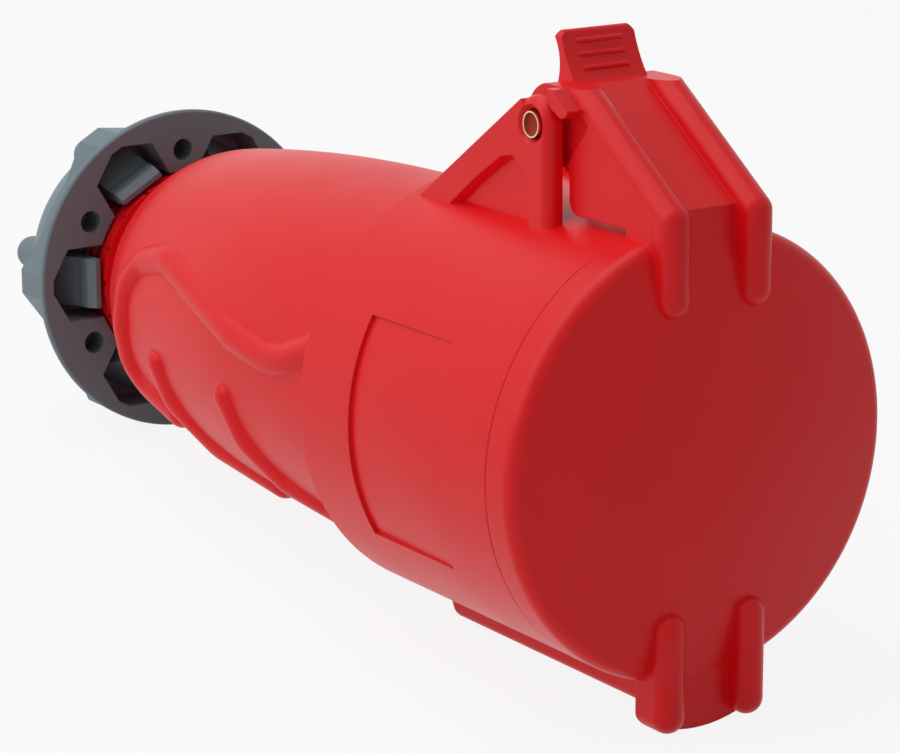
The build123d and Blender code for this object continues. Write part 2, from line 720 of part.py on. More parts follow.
def on_grip(station, angle, depth):
    """A point under the grip's surface, the angle counted from -X downwards."""
    radius = grip_radius(station) - depth
    return -radius * cos(radians(angle)), station, -radius * sin(radians(angle))


def raised_rib(stations, bend):
    """A round-crested rib along (station, angle, depth) points, with one bend radius or one for each."""
    points = [on_grip(*stop) for stop in stations]
    with BuildLine() as path:
        FilletPolyline(*points, radius=bend)
    with BuildSketch(Plane(origin=path.line @ 0, z_dir=path.line % 0)) as section:
        Circle(RIB_TUBE)
    sweep(section.sketch, path=path.line)
    ball(points[0], RIB_TUBE)
    ball(points[-1], RIB_TUBE)


with BuildPart() as wave_rib:
    raised_rib(
        [
            (50, -25, 1.6),
            (75.5, -6, 1.45),
            (92, -10, 1.3),
            (126.5, -25.6, 1.3),
            (137.5, -22.5, 1.55),
            (143.5, -12, 1.6),
            (145.2, 5, 1.6),
            (146.2, 21, 1.6),
            (143.5, 31, 1.6),
            (131, 38, 1.6),
        ],
        WAVE_BENDS,
    )
    tube(60, 0, 30, HOUSING_END, Mode.SUBTRACT)

with BuildPart() as short_rib:
    raised_rib(
        [(128, 13, 1.9), (126.2, 28, RIB_SUNK), (118, 46, RIB_SUNK), (103, 60, RIB_SUNK)],
        7.0,
    )

with BuildPart() as long_rib:
    raised_rib(
        [(96.5, 12, 1.9), (93.5, 27, RIB_SUNK), (86, 42, RIB_SUNK), (70, 58, RIB_SUNK), (50, 70, RIB_SUNK)],
        7.0,
    )
    tube(60, 0, 30, HOUSING_END, Mode.SUBTRACT)

with BuildPart() as rear_grip:
    with BuildSketch(Plane.XY) as grip_outline:
        with BuildLine():
            Line((GRIP_RADIUS, HOUSING_END - 0.2), (GRIP_RADIUS, sweep_start))
            CenterArc((GRIP_RADIUS - GRIP_SWEEP, sweep_start), GRIP_SWEEP, 0, sweep_turn)
            CenterArc((tail_r, tail_y), GRIP_TAIL, sweep_turn, tail_turn - sweep_turn)
            Polyline(
                (tail_r + GRIP_TAIL * cos(radians(tail_turn)), GRIP_END),
                (NECK_RADIUS + 0.7, neck_shoulder),
                (NECK_RADIUS, neck_shoulder),
                (NECK_RADIUS, NECK_END),
                (0, NECK_END),
                (0, HOUSING_END - 0.2),
                (GRIP_RADIUS, HOUSING_END - 0.2),
            )
        make_face()
    revolve(axis=Axis.Y)
    for grip_rib in (wave_rib, short_rib, long_rib):
        add(grip_rib.part)
        mirror(grip_rib.part, about=Plane.YZ)
    tube(spigot_out, 30, spigot_front, HOUSING_END - 0.2)
    tube(GRIP_RADIUS, 30, HOUSING_END - 0.3, HOUSING_END + 0.1)
    with BuildSketch(Plane.XY) as grip_hollow:
        with BuildLine():
            inner_start = GRIP_RADIUS - GRIP_WALL
            Polyline((0, spigot_front - 1), (35.2, spigot_front - 1), (35.2, HOUSING_END - 0.2))
            Polyline((35.2, HOUSING_END - 0.2), (inner_start, HOUSING_END + 2), (inner_start, sweep_start))
            CenterArc((GRIP_RADIUS - GRIP_SWEEP, sweep_start), GRIP_SWEEP - GRIP_WALL, 0, sweep_turn)
            CenterArc((tail_r, tail_y), inner_tail, sweep_turn, inner_turn - sweep_turn)
            Polyline(
                (tail_r + inner_tail * cos(radians(inner_turn)), inner_stop),
                (NECK_BORE, GRIP_END - 0.5),
                (CABLE_RADIUS + 1.5, GRIP_END + 2.5),
                (CABLE_RADIUS + 1.5, lip_end),
                (NECK_BORE, lip_end),
                (NECK_BORE, NECK_END + 1),
                (0, NECK_END + 1),
                (0, spigot_front - 1),
            )
        make_face()
    revolve(axis=Axis.Y, mode=Mode.SUBTRACT)
    for lug in range(3):
        turned(
            [(spigot_out - 1, lug_front), (39.8, lug_front), (39.8, lug_end), (spigot_out - 1, lug_end)],
            Mode.ADD,
            20,
            32 + 120 * lug,
        )
    tube(50, spigot_out - 1.5, seal_station - 0.9, seal_station + 0.9, Mode.SUBTRACT)
    tube(21.8, NECK_RADIUS - 1, 170.5, 174.4)
    for notch in range(18):
        with Locations(Rotation(0, 20 * notch, 0)):
            with Locations((21.8, 171.7, 0)):
                Box(1.0, 3.2, 1.0, mode=Mode.SUBTRACT)
    for crest_y in range(176, 192, 3):
        turned(
            [
                (NECK_RADIUS - 0.5, crest_y),
                (NECK_RADIUS, crest_y),
                (NECK_RADIUS + THREAD_HEIGHT, crest_y + 0.8),
                (NECK_RADIUS + THREAD_HEIGHT, crest_y + 1.2),
                (NECK_RADIUS, crest_y + 2),
                (NECK_RADIUS - 0.5, crest_y + 2),
            ]
        )
rear_grip.part.label = "rear_grip"
export_step(rear_grip.part, "parts/rear_grip.step")

# Sealing ring between grip and housing
seal_mid = SOCKET_RADIUS - 0.95
with BuildPart() as housing_seal:
    with Locations((0, seal_station, 0)):
        Torus(seal_mid, 0.85, rotation=(90, 0, 0))
housing_seal.part.label = "housing_seal"
export_step(housing_seal.part, "parts/housing_seal.step")

# Gland: seal, clamping cage, slip ring and nut
seal_end = NECK_END - 10.3
cage_base = NECK_END + 0.2
ring_start = cage_base + 3.5
with BuildPart() as gland_seal:
    tube(NECK_BORE - 0.3, CABLE_RADIUS, lip_end, seal_end)
gland_seal.part.label = "gland_seal"
export_step(gland_seal.part, "parts/gland_seal.step")

with BuildPart() as clamping_cage:
    tube(NECK_RADIUS - 0.1, CABLE_RADIUS + 1.9, cage_base, cage_base + 3.3)
    tube(NECK_BORE - 0.4, CABLE_RADIUS + 1.9, seal_end + 0.3, cage_base + 1)
    for slot in range(8):
        with Locations(Rotation(0, 45 * slot, 0)):
            with Locations((NECK_BORE - 1.5, (seal_end + cage_base) / 2 - 0.5, 0)):
                Box(6, cage_base - seal_end, 3, mode=Mode.SUBTRACT)
clamping_cage.part.label = "clamping_cage"
export_step(clamping_cage.part, "parts/clamping_cage.step")

with BuildPart() as slip_ring:
    tube(NECK_RADIUS - 0.1, CABLE_RADIUS + 1.5, ring_start, ring_start + 1.5)
slip_ring.part.label = "slip_ring"
export_step(slip_ring.part, "parts/slip_ring.step")

nut_shoulder = ring_start + 1.7
pocket_end = NUT_FRONT + 9.8


def pocket_outline(grow):
    """Half the faceted outline of a pocket, grown outwards by a wall."""
    return [
        (20.9 - 2 * grow, 8.1 + grow),
        (29.3 + 0.2 * grow, 8.1 + grow),
        (33.07 + grow, 1.5 + 0.46 * grow),
        (33.07 + grow, -1.5 - 0.46 * grow),
        (29.3 + 0.2 * grow, -8.1 - grow),
        (20.9 - 2 * grow, -8.1 - grow),
    ]


def facets(points, start, end, mode=Mode.ADD):
    """An outline of (outwards, sideways) points, once at each pocket."""
    for pocket in range(POCKETS):
        with BuildSketch(Plane.XZ.offset(-end)) as outline:
            with BuildLine():
                Polyline(*points, close=True)
            make_face()
        face = outline.sketch.rotate(Axis.Y, 60 * pocket)
        extrude(face, amount=end - start, mode=mode)


with BuildPart() as gland_nut:
    turned(
        [
            (0, NUT_FRONT),
            (NUT_RADIUS - 0.4, NUT_FRONT),
            (NUT_RADIUS, NUT_FRONT + 0.4),
            (NUT_RADIUS, NUT_FRONT + 1.6),
            (NUT_RADIUS - 0.3, NUT_FRONT + 1.9),
            (32.2, NUT_FRONT + 2.1),
            (32.0, 180.0),
            (31.6, 184.0),
            (30.4, 188.0),
            (28.6, 192.0),
            (26.4, 196.0),
            (23.8, 200.0),
            (21.5, 202.2),
            (19.5, NUT_END),
            (0, NUT_END),
        ]
    )
    facets(pocket_outline(2.5), NUT_FRONT + 1.5, pocket_end + 0.6)
    for hub in range(POCKETS):
        x, z = polar(HUB_CIRCLE, 60 * hub - HUB_TURN)
        rod(x, z, HUB_RADIUS, pocket_end - 3, HUB_END)
        ball((x, HUB_END, z), HUB_RADIUS)
    facets(pocket_outline(0), NUT_FRONT - 1, pocket_end, Mode.SUBTRACT)
    tube(NUT_BORE, 0, NUT_FRONT - 1, pocket_end, Mode.SUBTRACT)
    tube(NECK_RADIUS + THREAD_HEIGHT + 0.3, 0, pocket_end - 1, nut_shoulder, Mode.SUBTRACT)
    tube(CABLE_RADIUS + 1, 0, nut_shoulder - 1, NUT_END + 1, Mode.SUBTRACT)
    for hole in range(POCKETS):
        x, z = polar(NUT_HOLE_CIRCLE, 30 + 60 * hole)
        rod(x, z, NUT_HOLE_RADIUS, NUT_FRONT - 1, NUT_FRONT + 7, Mode.SUBTRACT)
    # A sprung finger stands in each pocket and reaches over the toothed ring
    for pocket in range(POCKETS):
        with BuildSketch(Plane.XY.offset(-5.5)) as finger:
            with BuildLine():
                Polyline(
                    (22.5, pocket_end + 0.5),
                    (22.5, 171.3),
                    (23.6, 171.3),
                    (25.0, 173.0),
                    (25.6, 176),
                    (30.0, pocket_end + 0.5),
                    close=True,
                )
            make_face()
        solid = extrude(finger.sketch, amount=11, mode=Mode.PRIVATE)
        add(solid.rotate(Axis.Y, 60 * pocket))
gland_nut.part.label = "gland_nut"
export_step(gland_nut.part, "parts/gland_nut.step")
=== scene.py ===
"""Cable coupler with a hinged lid: finishes, lid spring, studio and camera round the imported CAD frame."""

import logging
import math
from dataclasses import dataclass, field
from enum import Enum
from typing import Iterable, Sequence

import bpy
from mathutils import Matrix, Vector

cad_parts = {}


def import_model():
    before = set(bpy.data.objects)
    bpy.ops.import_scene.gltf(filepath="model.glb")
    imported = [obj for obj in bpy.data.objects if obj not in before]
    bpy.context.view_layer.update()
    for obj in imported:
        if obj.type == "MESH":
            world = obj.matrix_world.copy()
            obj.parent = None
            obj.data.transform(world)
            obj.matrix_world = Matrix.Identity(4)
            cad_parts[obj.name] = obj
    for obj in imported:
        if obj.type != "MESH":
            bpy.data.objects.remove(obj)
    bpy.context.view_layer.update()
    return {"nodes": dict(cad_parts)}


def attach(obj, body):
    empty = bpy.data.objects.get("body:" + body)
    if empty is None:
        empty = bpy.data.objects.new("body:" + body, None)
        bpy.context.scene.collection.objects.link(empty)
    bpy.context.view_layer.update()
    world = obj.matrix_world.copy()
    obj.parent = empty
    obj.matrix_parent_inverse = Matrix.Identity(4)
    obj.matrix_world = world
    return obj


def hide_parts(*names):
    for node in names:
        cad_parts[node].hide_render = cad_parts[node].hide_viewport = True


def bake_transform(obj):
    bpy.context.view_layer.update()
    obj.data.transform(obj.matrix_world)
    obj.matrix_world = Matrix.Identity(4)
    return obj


logging.basicConfig(level=logging.INFO, format="%(message)s")
LOG = logging.getLogger("coupler")

MM = 0.001
HINGE_MM = Vector((0.0, 17.45, 57.3))
Socket = bpy.types.NodeSocket
Tree = bpy.types.NodeTree


def linear_colour(hex_code: str) -> tuple[float, float, float, float]:
    """Turn an sRGB hex colour to linear light.

    Args:
        hex_code: six hex digits, with or without a leading hash.

    Returns:
        Red, green, blue and an alpha of 1, all linear.
    """
    digits = hex_code.lstrip("#")
    channels = [int(digits[i:i + 2], 16) / 255 for i in (0, 2, 4)]
    red, green, blue = (c / 12.92 if c <= 0.04045 else ((c + 0.055) / 1.055) ** 2.4 for c in channels)
    return red, green, blue, 1.0


def add_node(
    tree: Tree,
    kind: str,
    settings: dict[str, object] | None = None,
    values: dict[str | int, object] | None = None,
    links: dict[str | int, Socket] | None = None,
) -> bpy.types.Node:
    """Add one shader node with its settings and links.

    Args:
        tree: the node tree it goes in.
        kind: Blender's name for the node's type.
        settings: attributes of the node itself.
        values: constants for its input sockets, by name or number.
        links: output sockets that feed its inputs, by name or number.

    Returns:
        The new node.
    """
    node = tree.nodes.new(kind)
    for name, value in (settings or {}).items():
        setattr(node, name, value)
    for key, value in (values or {}).items():
        node.inputs[key].default_value = value
    for key, source in (links or {}).items():
        tree.links.new(source, node.inputs[key])
    return node


def background_rays(tree: Tree) -> Socket:
    """Pick out the rays that see the white background: camera, glossy and transmission rays.

    Args:
        tree: the node tree of the floor or the world.

    Returns:
        An output that is 1 for those rays and 0 for the rays that only carry light.
    """
    ray = add_node(tree, "ShaderNodeLightPath")
    seen = ray.outputs["Is Camera Ray"]
    for kind in ("Is Glossy Ray", "Is Transmission Ray"):
        either = add_node(
            tree, "ShaderNodeMath", {"operation": "MAXIMUM"}, links={0: seen, 1: ray.outputs[kind]}
        )
        seen = either.outputs[0]
    return seen


def new_material(name: str) -> tuple[bpy.types.Material, Tree]:
    """Make an empty node material.

    Args:
        name: the finish's name.

    Returns:
        The material and its cleared node tree.
    """
    material = bpy.data.materials.new(name)
    material.use_nodes = True
    material.node_tree.nodes.clear()
    return material, material.node_tree


def uneven_roughness(tree: Tree, pattern: Socket, smooth: float, rough: float) -> Socket:
    """Spread a finish's roughness with a noise, whose values lie mostly between 0.3 and 0.7.

    Args:
        tree: the material's node tree.
        pattern: the noise that it follows.
        smooth: roughness at the noise's low end.
        rough: roughness at its high end.

    Returns:
        The roughness as an output socket.
    """
    spread = add_node(
        tree, "ShaderNodeMapRange",
        values={"From Min": 0.3, "From Max": 0.7, "To Min": smooth, "To Max": rough},
        links={"Value": pattern},
    )
    return spread.outputs["Result"]


@dataclass(frozen=True)
class MouldedPlastic:
    """Injection-moulded polyamide: a satin skin with a fine spark-eroded grain."""

    name: str
    colour: str
    shade: str
    roughness: float = 0.38
    ior: float = 1.5
    gloss: float = 0.3
    grain_mm: float = 0.55
    grain_depth_mm: float = 0.012
    flow_mm: float = 26.0
    edge_mm: float = 0.35

    def material(self) -> bpy.types.Material:
        """Build the satin plastic with its grain, flow tones and softened edges.

        Returns:
            The plastic's material.
        """
        material, tree = new_material(self.name)
        place = add_node(tree, "ShaderNodeTexCoord").outputs["Object"]
        # Slow tone changes follow the melt's flow, a few hundredths of the colour at most
        flow = add_node(
            tree, "ShaderNodeTexNoise", values={"Scale": 1 / (self.flow_mm * MM), "Detail": 3.0},
            links={"Vector": place},
        )
        tone = add_node(
            tree, "ShaderNodeMix", {"data_type": "RGBA"},
            {6: linear_colour(self.colour), 7: linear_colour(self.shade)}, {0: flow.outputs["Fac"]},
        )
        # The real grain is about 0.05 mm, too fine to show, so it is drawn ten times as coarse
        grain = add_node(
            tree, "ShaderNodeTexNoise", values={"Scale": 1 / (self.grain_mm * MM), "Detail": 2.0},
            links={"Vector": place},
        )
        sheen = uneven_roughness(tree, flow.outputs["Fac"], self.roughness - 0.03, self.roughness + 0.04)
        edge = add_node(tree, "ShaderNodeBevel", {"samples": 4}, {"Radius": self.edge_mm * MM})
        bump = add_node(
            tree, "ShaderNodeBump", values={"Strength": 0.25, "Distance": self.grain_depth_mm * MM},
            links={"Height": grain.outputs["Fac"], "Normal": edge.outputs["Normal"]},
        )
        shader = add_node(
            tree, "ShaderNodeBsdfPrincipled", values={"IOR": self.ior, "Specular IOR Level": self.gloss},
            links={
                "Base Color": tone.outputs[2],
                "Roughness": sheen,
                "Normal": bump.outputs["Normal"],
            },
        )
        add_node(tree, "ShaderNodeOutputMaterial", links={"Surface": shader.outputs["BSDF"]})
        return material


@dataclass(frozen=True)
class TurnedMetal:
    """Bar turned on a lathe or drawn wire: bright metal with fine lines round its axis."""

    name: str
    colour: str
    dull: str
    roughness: float
    line_mm: float = 0.35
    line_depth_mm: float = 0.004
    tarnish_mm: float = 4.0

    def material(self) -> bpy.types.Material:
        """Build the metal with its tool lines and a thin uneven tarnish.

        Returns:
            The metal's material.
        """
        material, tree = new_material(self.name)
        place = add_node(tree, "ShaderNodeTexCoord").outputs["Object"]
        tarnish = add_node(
            tree, "ShaderNodeTexNoise", values={"Scale": 1 / (self.tarnish_mm * MM), "Detail": 4.0},
            links={"Vector": place},
        )
        tone = add_node(
            tree, "ShaderNodeMix", {"data_type": "RGBA"},
            {6: linear_colour(self.colour), 7: linear_colour(self.dull)}, {0: tarnish.outputs["Fac"]},
        )
        lines = add_node(
            tree, "ShaderNodeTexNoise", values={"Scale": 1 / (self.line_mm * MM), "Detail": 2.0},
            links={"Vector": place},
        )
        polish = uneven_roughness(tree, tarnish.outputs["Fac"], self.roughness - 0.05, self.roughness + 0.08)
        bump = add_node(
            tree, "ShaderNodeBump", values={"Strength": 0.3, "Distance": self.line_depth_mm * MM},
            links={"Height": lines.outputs["Fac"]},
        )
        shader = add_node(
            tree, "ShaderNodeBsdfPrincipled", values={"Metallic": 1.0},
            links={
                "Base Color": tone.outputs[2],
                "Roughness": polish,
                "Normal": bump.outputs["Normal"],
            },
        )
        add_node(tree, "ShaderNodeOutputMaterial", links={"Surface": shader.outputs["BSDF"]})
        return material


@dataclass(frozen=True)
class MouldedRubber:
    """Pressed nitrile rubber: nearly black, matt, with a bloom of lighter dust."""

    name: str
    colour: str
    bloom: str
    roughness: float = 0.68
    ior: float = 1.52
    bloom_mm: float = 3.0
    pebble_depth_mm: float = 0.02

    def material(self) -> bpy.types.Material:
        """Build the matt rubber with its bloom and pebbled skin.

        Returns:
            The rubber's material.
        """
        material, tree = new_material(self.name)
        place = add_node(tree, "ShaderNodeTexCoord").outputs["Object"]
        dust = add_node(
            tree, "ShaderNodeTexNoise", values={"Scale": 1 / (self.bloom_mm * MM), "Detail": 5.0},
            links={"Vector": place},
        )
        tone = add_node(
            tree, "ShaderNodeMix", {"data_type": "RGBA"},
            {6: linear_colour(self.colour), 7: linear_colour(self.bloom)}, {0: dust.outputs["Fac"]},
        )
        bump = add_node(
            tree, "ShaderNodeBump", values={"Strength": 0.3, "Distance": self.pebble_depth_mm * MM},
            links={"Height": dust.outputs["Fac"]},
        )
        shader = add_node(
            tree, "ShaderNodeBsdfPrincipled", values={"IOR": self.ior, "Roughness": self.roughness},
            links={"Base Color": tone.outputs[2], "Normal": bump.outputs["Normal"]},
        )
        add_node(tree, "ShaderNodeOutputMaterial", links={"Surface": shader.outputs["BSDF"]})
        return material


class Finish(Enum):
    """The coupler's finishes. Each value names the real material and how its surface was made."""

    # Glass-filled polyamide 6 in signal red: even, satin, slightly translucent at thin edges
    RED_POLYAMIDE = MouldedPlastic("red_polyamide_moulded", "F0101A", "EA0F18")
    # The same resin in a neutral grey for the nut
    GREY_POLYAMIDE = MouldedPlastic("grey_polyamide_moulded", "76878F", "6F8088", roughness=0.45)
    # Warm red-brown core ends inside the hinge pin's brass tube. This is painted reflection and shade: the
    # colour stands in for red plastic reflected in the shaded brass tube
    PIN_CORE_PAINTED_REFLECTION = MouldedPlastic("pin_core_painted_reflection_and_shade", "B42A0C", "A42208", roughness=0.5)
    # Stiffer heat-proof polyamide that carries the contacts
    CARRIER_POLYAMIDE = MouldedPlastic("carrier_polyamide_moulded", "3A3D40", "34373A", roughness=0.5)
    # Drawn brass tube, cut and lightly polished: pale gold
    PIN_BRASS = TurnedMetal("hinge_pin_brass_drawn", "E6DDB8", "D2C596", 0.22)
    # Free-cutting brass turned from bar: deeper yellow
    CONTACT_BRASS = TurnedMetal("contact_brass_turned", "E3CE8B", "C9B06A", 0.26)
    # Zinc-plated steel wire and screws: bluish, half bright
    ZINC_STEEL = TurnedMetal("zinc_plated_steel", "C3C7CB", "A9AEB3", 0.32)
    # Nitrile rubber of the gaskets
    NITRILE = MouldedRubber("nitrile_rubber_pressed", "17181A", "26282A")


class FinishShelf:
    """Builds each finish once and dresses CAD nodes and pieces with it."""

    def __init__(self) -> None:
        """Start with no material built."""
        self._made: dict[Finish, bpy.types.Material] = {}

    def get(self, finish: Finish) -> bpy.types.Material:
        """Give the material of a finish, building it the first time.

        Args:
            finish: the finish that is asked for.

        Returns:
            Its material.
        """
        if finish not in self._made:
            self._made[finish] = finish.value.material()
        return self._made[finish]

    def dress(self, piece: bpy.types.Object, finish: Finish) -> None:
        """Put a finish on every material slot of a piece.

        Args:
            piece: a CAD node's object or a new piece.
            finish: the finish it gets.
        """
        material = self.get(finish)
        if not piece.material_slots:
            piece.data.materials.append(material)
        for place in piece.material_slots:
            place.material = material
        LOG.info("%s dressed in %s", piece.name, material.name)


@dataclass
class NodeGroup:
    """CAD nodes of one sub-assembly whose shape is right and that only need their finish."""

    nodes: dict[str, Finish]

    def build(self, shelf: FinishShelf, cad: dict[str, bpy.types.Object]) -> None:
        """Dress each node of the group.

        Args:
            shelf: where the finishes come from.
            cad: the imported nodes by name.
        """
        for name, finish in self.nodes.items():
            shelf.dress(cad[name], finish)


@dataclass
class Shell(NodeGroup):
    """Front housing with its hinge pin and seal."""

    nodes: dict[str, Finish] = field(
        default_factory=lambda: {
            "front_housing": Finish.RED_POLYAMIDE,
            "hinge_pin": Finish.PIN_BRASS,
            "housing_seal": Finish.NITRILE,
        }
    )


@dataclass
class Lid(NodeGroup):
    """Hinged lid with its gasket."""

    nodes: dict[str, Finish] = field(
        default_factory=lambda: {"hinged_lid": Finish.RED_POLYAMIDE, "lid_gasket": Finish.NITRILE}
    )


@dataclass
class ContactSet(NodeGroup):
    """Contact carrier, its sleeves, clips, screws and rear plate."""

    nodes: dict[str, Finish] = field(
        default_factory=lambda: {
            "contact_carrier": Finish.CARRIER_POLYAMIDE,
            "contact_face": Finish.CARRIER_POLYAMIDE,
            "contact_wells": Finish.CARRIER_POLYAMIDE,
            "terminal_block": Finish.CARRIER_POLYAMIDE,
            "carrier_rear_plate": Finish.CARRIER_POLYAMIDE,
            "contact_earth": Finish.CONTACT_BRASS,
            "contact_line_1": Finish.CONTACT_BRASS,
            "contact_line_2": Finish.CONTACT_BRASS,
            "contact_line_3": Finish.CONTACT_BRASS,
            "contact_neutral": Finish.CONTACT_BRASS,
            "contact_clips": Finish.ZINC_STEEL,
            "terminal_screws": Finish.ZINC_STEEL,
            "carrier_screws": Finish.ZINC_STEEL,
            "rear_plate_screw": Finish.ZINC_STEEL,
        }
    )


@dataclass
class GripAndGland(NodeGroup):
    """Rear grip and the gland's parts."""

    nodes: dict[str, Finish] = field(
        default_factory=lambda: {
            "rear_grip": Finish.RED_POLYAMIDE,
            "gland_nut": Finish.GREY_POLYAMIDE,
            "gland_seal": Finish.NITRILE,
            "clamping_cage": Finish.CARRIER_POLYAMIDE,
            "slip_ring": Finish.CARRIER_POLYAMIDE,
        }
    )


@dataclass
class LidSpring:
    """Wound wire spring about the hinge pin, in place of the CAD's stacked rings."""

    centre_mm: Vector = field(default_factory=lambda: HINGE_MM.copy())
    mean_radius_mm: float = 4.0
    wire_radius_mm: float = 0.45
    half_width_mm: float = 5.5
    first_angle: float = -25.0
    last_angle: float = 125.6
    full_turns: int = 10
    housing_leg_mm: float = 14.4
    lid_leg_mm: float = 11.0
    steps_per_turn: int = 28
    sides: int = 8

    def _point(self, angle: float, along: float, across: float) -> Vector:
        """Place a point on the winding, or on the straight leg that leaves it there.

        Args:
            angle: degrees from +Y towards +Z.
            along: millimetres straight on from the winding.
            across: the point's X, in millimetres.

        Returns:
            The point in millimetres.
        """
        turn = math.radians(angle)
        return self.centre_mm + Vector(
            (
                across,
                self.mean_radius_mm * math.cos(turn) - along * math.sin(turn),
                self.mean_radius_mm * math.sin(turn) + along * math.cos(turn),
            )
        )

    def line(self) -> list[Vector]:
        """Lay out the wire's middle line in millimetres, leg, winding, leg.

        Returns:
            The line's points, from the housing's leg to the lid's.
        """
        points = [self._point(self.first_angle, -self.housing_leg_mm, -self.half_width_mm)]
        span = 360.0 * self.full_turns + self.last_angle - self.first_angle
        steps = round(span / 360.0 * self.steps_per_turn)
        for step in range(steps + 1):
            share = step / steps
            across = -self.half_width_mm + 2 * self.half_width_mm * share
            points.append(self._point(self.first_angle + span * share, 0.0, across))
        points.append(self._point(self.last_angle, self.lid_leg_mm, self.half_width_mm))
        return points

    def build(self, shelf: FinishShelf) -> bpy.types.Object:
        """Make the wire and hide the CAD's plain spring.

        Args:
            shelf: where the finish comes from.

        Returns:
            The spring's object.
        """
        mesh = wire_mesh("lid_spring_wound_wire", self.line(), self.wire_radius_mm, self.sides)
        piece = bpy.data.objects.new("lid_spring_wound_wire", mesh)
        bpy.context.scene.collection.objects.link(piece)
        shelf.dress(piece, Finish.ZINC_STEEL)
        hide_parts("lid_spring")
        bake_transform(piece)
        return piece


@dataclass
class PaintedReflectionPinCore:
    """Dished core ends inside the hollow hinge pin, a little below the rim of its tube; their red-brown
    colour is painted reflection and shade.
    """

    radius_mm: float = 2.16
    sunk_mm: float = 0.7
    dish_mm: float = 0.4
    length_mm: float = 2.5
    sides: int = 24
    steps: int = 4

    def profile(self) -> list[tuple[float, float]]:
        """Lay out the core end's outline, from the dish's middle over its rim to the back.

        Returns:
            Radius and depth of each point, in millimetres.
        """
        points = [(0.0, self.sunk_mm + self.dish_mm)]
        for step in range(1, self.steps + 1):
            share = step / self.steps
            points.append((self.radius_mm * share, self.sunk_mm + self.dish_mm * (1 - share**2)))
        points.append((self.radius_mm, self.sunk_mm + self.length_mm))
        points.append((0.0, self.sunk_mm + self.length_mm))
        return points

    def end(self, name: str, face_mm: float) -> bpy.types.Mesh:
        """Turn the profile about the pin's axis.

        Args:
            name: the mesh's name.
            face_mm: where the tube ends along X, in millimetres, with the sign of its side.

        Returns:
            The closed mesh in metres.
        """
        outwards = math.copysign(1.0, face_mm)
        profile = self.profile()
        verts = [HINGE_MM + Vector((face_mm - outwards * profile[0][1], 0.0, 0.0))]
        for radius, depth in profile[1:-1]:
            for side in range(self.sides):
                turn = 2 * math.pi * side / self.sides
                verts.append(
                    HINGE_MM
                    + Vector((face_mm - outwards * depth, radius * math.cos(turn), radius * math.sin(turn)))
                )
        verts.append(HINGE_MM + Vector((face_mm - outwards * profile[-1][1], 0.0, 0.0)))
        last = len(verts) - 1
        rings = len(profile) - 2
        faces: list[tuple[int, ...]] = []
        for side in range(self.sides):
            nxt = (side + 1) % self.sides
            faces.append((0, 1 + side, 1 + nxt))
            for ring in range(rings - 1):
                near = 1 + ring * self.sides
                far = near + self.sides
                faces.append((near + nxt, near + side, far + side, far + nxt))
            rim = 1 + (rings - 1) * self.sides
            faces.append((last, rim + nxt, rim + side))
        if outwards < 0:
            faces = [tuple(reversed(face)) for face in faces]
        mesh = bpy.data.meshes.new(name)
        mesh.from_pydata([vert * MM for vert in verts], [], faces)
        return mesh

    def build(self, shelf: FinishShelf, cad: dict[str, bpy.types.Object]) -> None:
        """Seat a core end in each end of the hinge pin.

        Args:
            shelf: where the finish comes from.
            cad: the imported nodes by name.
        """
        reach_mm = max(corner[0] for corner in cad["hinge_pin"].bound_box) / MM
        for label, face_mm in (("left", -reach_mm), ("right", reach_mm)):
            name = f"hinge_pin_painted_reflection_core_{label}"
            piece = bpy.data.objects.new(name, self.end(name, face_mm))
            bpy.context.scene.collection.objects.link(piece)
            # The core end's red-brown colour is painted reflection and shade inside the tube
            shelf.dress(piece, Finish.PIN_CORE_PAINTED_REFLECTION)
            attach(piece, "housing_body")
            LOG.info("%s done", name)


def wire_mesh(name: str, line: Sequence[Vector], radius: float, sides: int) -> bpy.types.Mesh:
    """Make a round wire along a line, closed at both ends.

    Args:
        name: the mesh's name.
        line: its middle line in millimetres.
        radius: the wire's radius in millimetres.
        sides: how many flats go round it.

    Returns:
        The mesh in metres, shaded smooth.
    """
    verts: list[Vector] = []
    faces: list[tuple[int, ...]] = []
    across = Vector((1.0, 0.0, 0.0))
    for index, point in enumerate(line):
        before = line[max(index - 1, 0)]
        after = line[min(index + 1, len(line) - 1)]
        ahead = (after - before).normalized()
        across = (across - ahead * across.dot(ahead)).normalized()
        up = ahead.cross(across)
        for side in range(sides):
            turn = 2 * math.pi * side / sides
            verts.append((point + across * (radius * math.cos(turn)) + up * (radius * math.sin(turn))) * MM)
    for ring in range(len(line) - 1):
        for side in range(sides):
            nxt = (side + 1) % sides
            faces.append(
                (ring * sides + side, ring * sides + nxt, (ring + 1) * sides + nxt, (ring + 1) * sides + side)
            )
    faces.append(tuple(reversed(range(sides))))
    faces.append(tuple(range((len(line) - 1) * sides, len(line) * sides)))
    mesh = bpy.data.meshes.new(name)
    mesh.from_pydata(verts, [], faces)
    mesh.shade_smooth()
    return mesh


def resting_points(
    cad: dict[str, bpy.types.Object], middle: float
) -> tuple[tuple[float, float], tuple[float, float]]:
    """Find the two places along the coupler, front and rear, on which it lies on a flat floor.

    Args:
        cad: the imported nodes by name.
        middle: a station between the two, in metres.

    Returns:
        Station and height of each place, in metres.
    """
    seen = (node.matrix_world @ vert.co for node in cad.values() for vert in node.data.vertices)
    under: list[tuple[float, float]] = []
    for y, z in sorted((point.y, point.z) for point in seen):
        while len(under) > 1:
            (y0, z0), (y1, z1) = under[-2:]
            if (y1 - y0) * (z - z0) > (z1 - z0) * (y - y0):
                break
            under.pop()
        under.append((y, z))
    return next((front, rear) for front, rear in zip(under, under[1:]) if rear[0] >= middle)


@dataclass(frozen=True)
class SoftLamp:
    """A soft square lamp: its place and side in metres, and its power in watts."""

    name: str
    place: tuple[float, float, float]
    size: float
    power: float


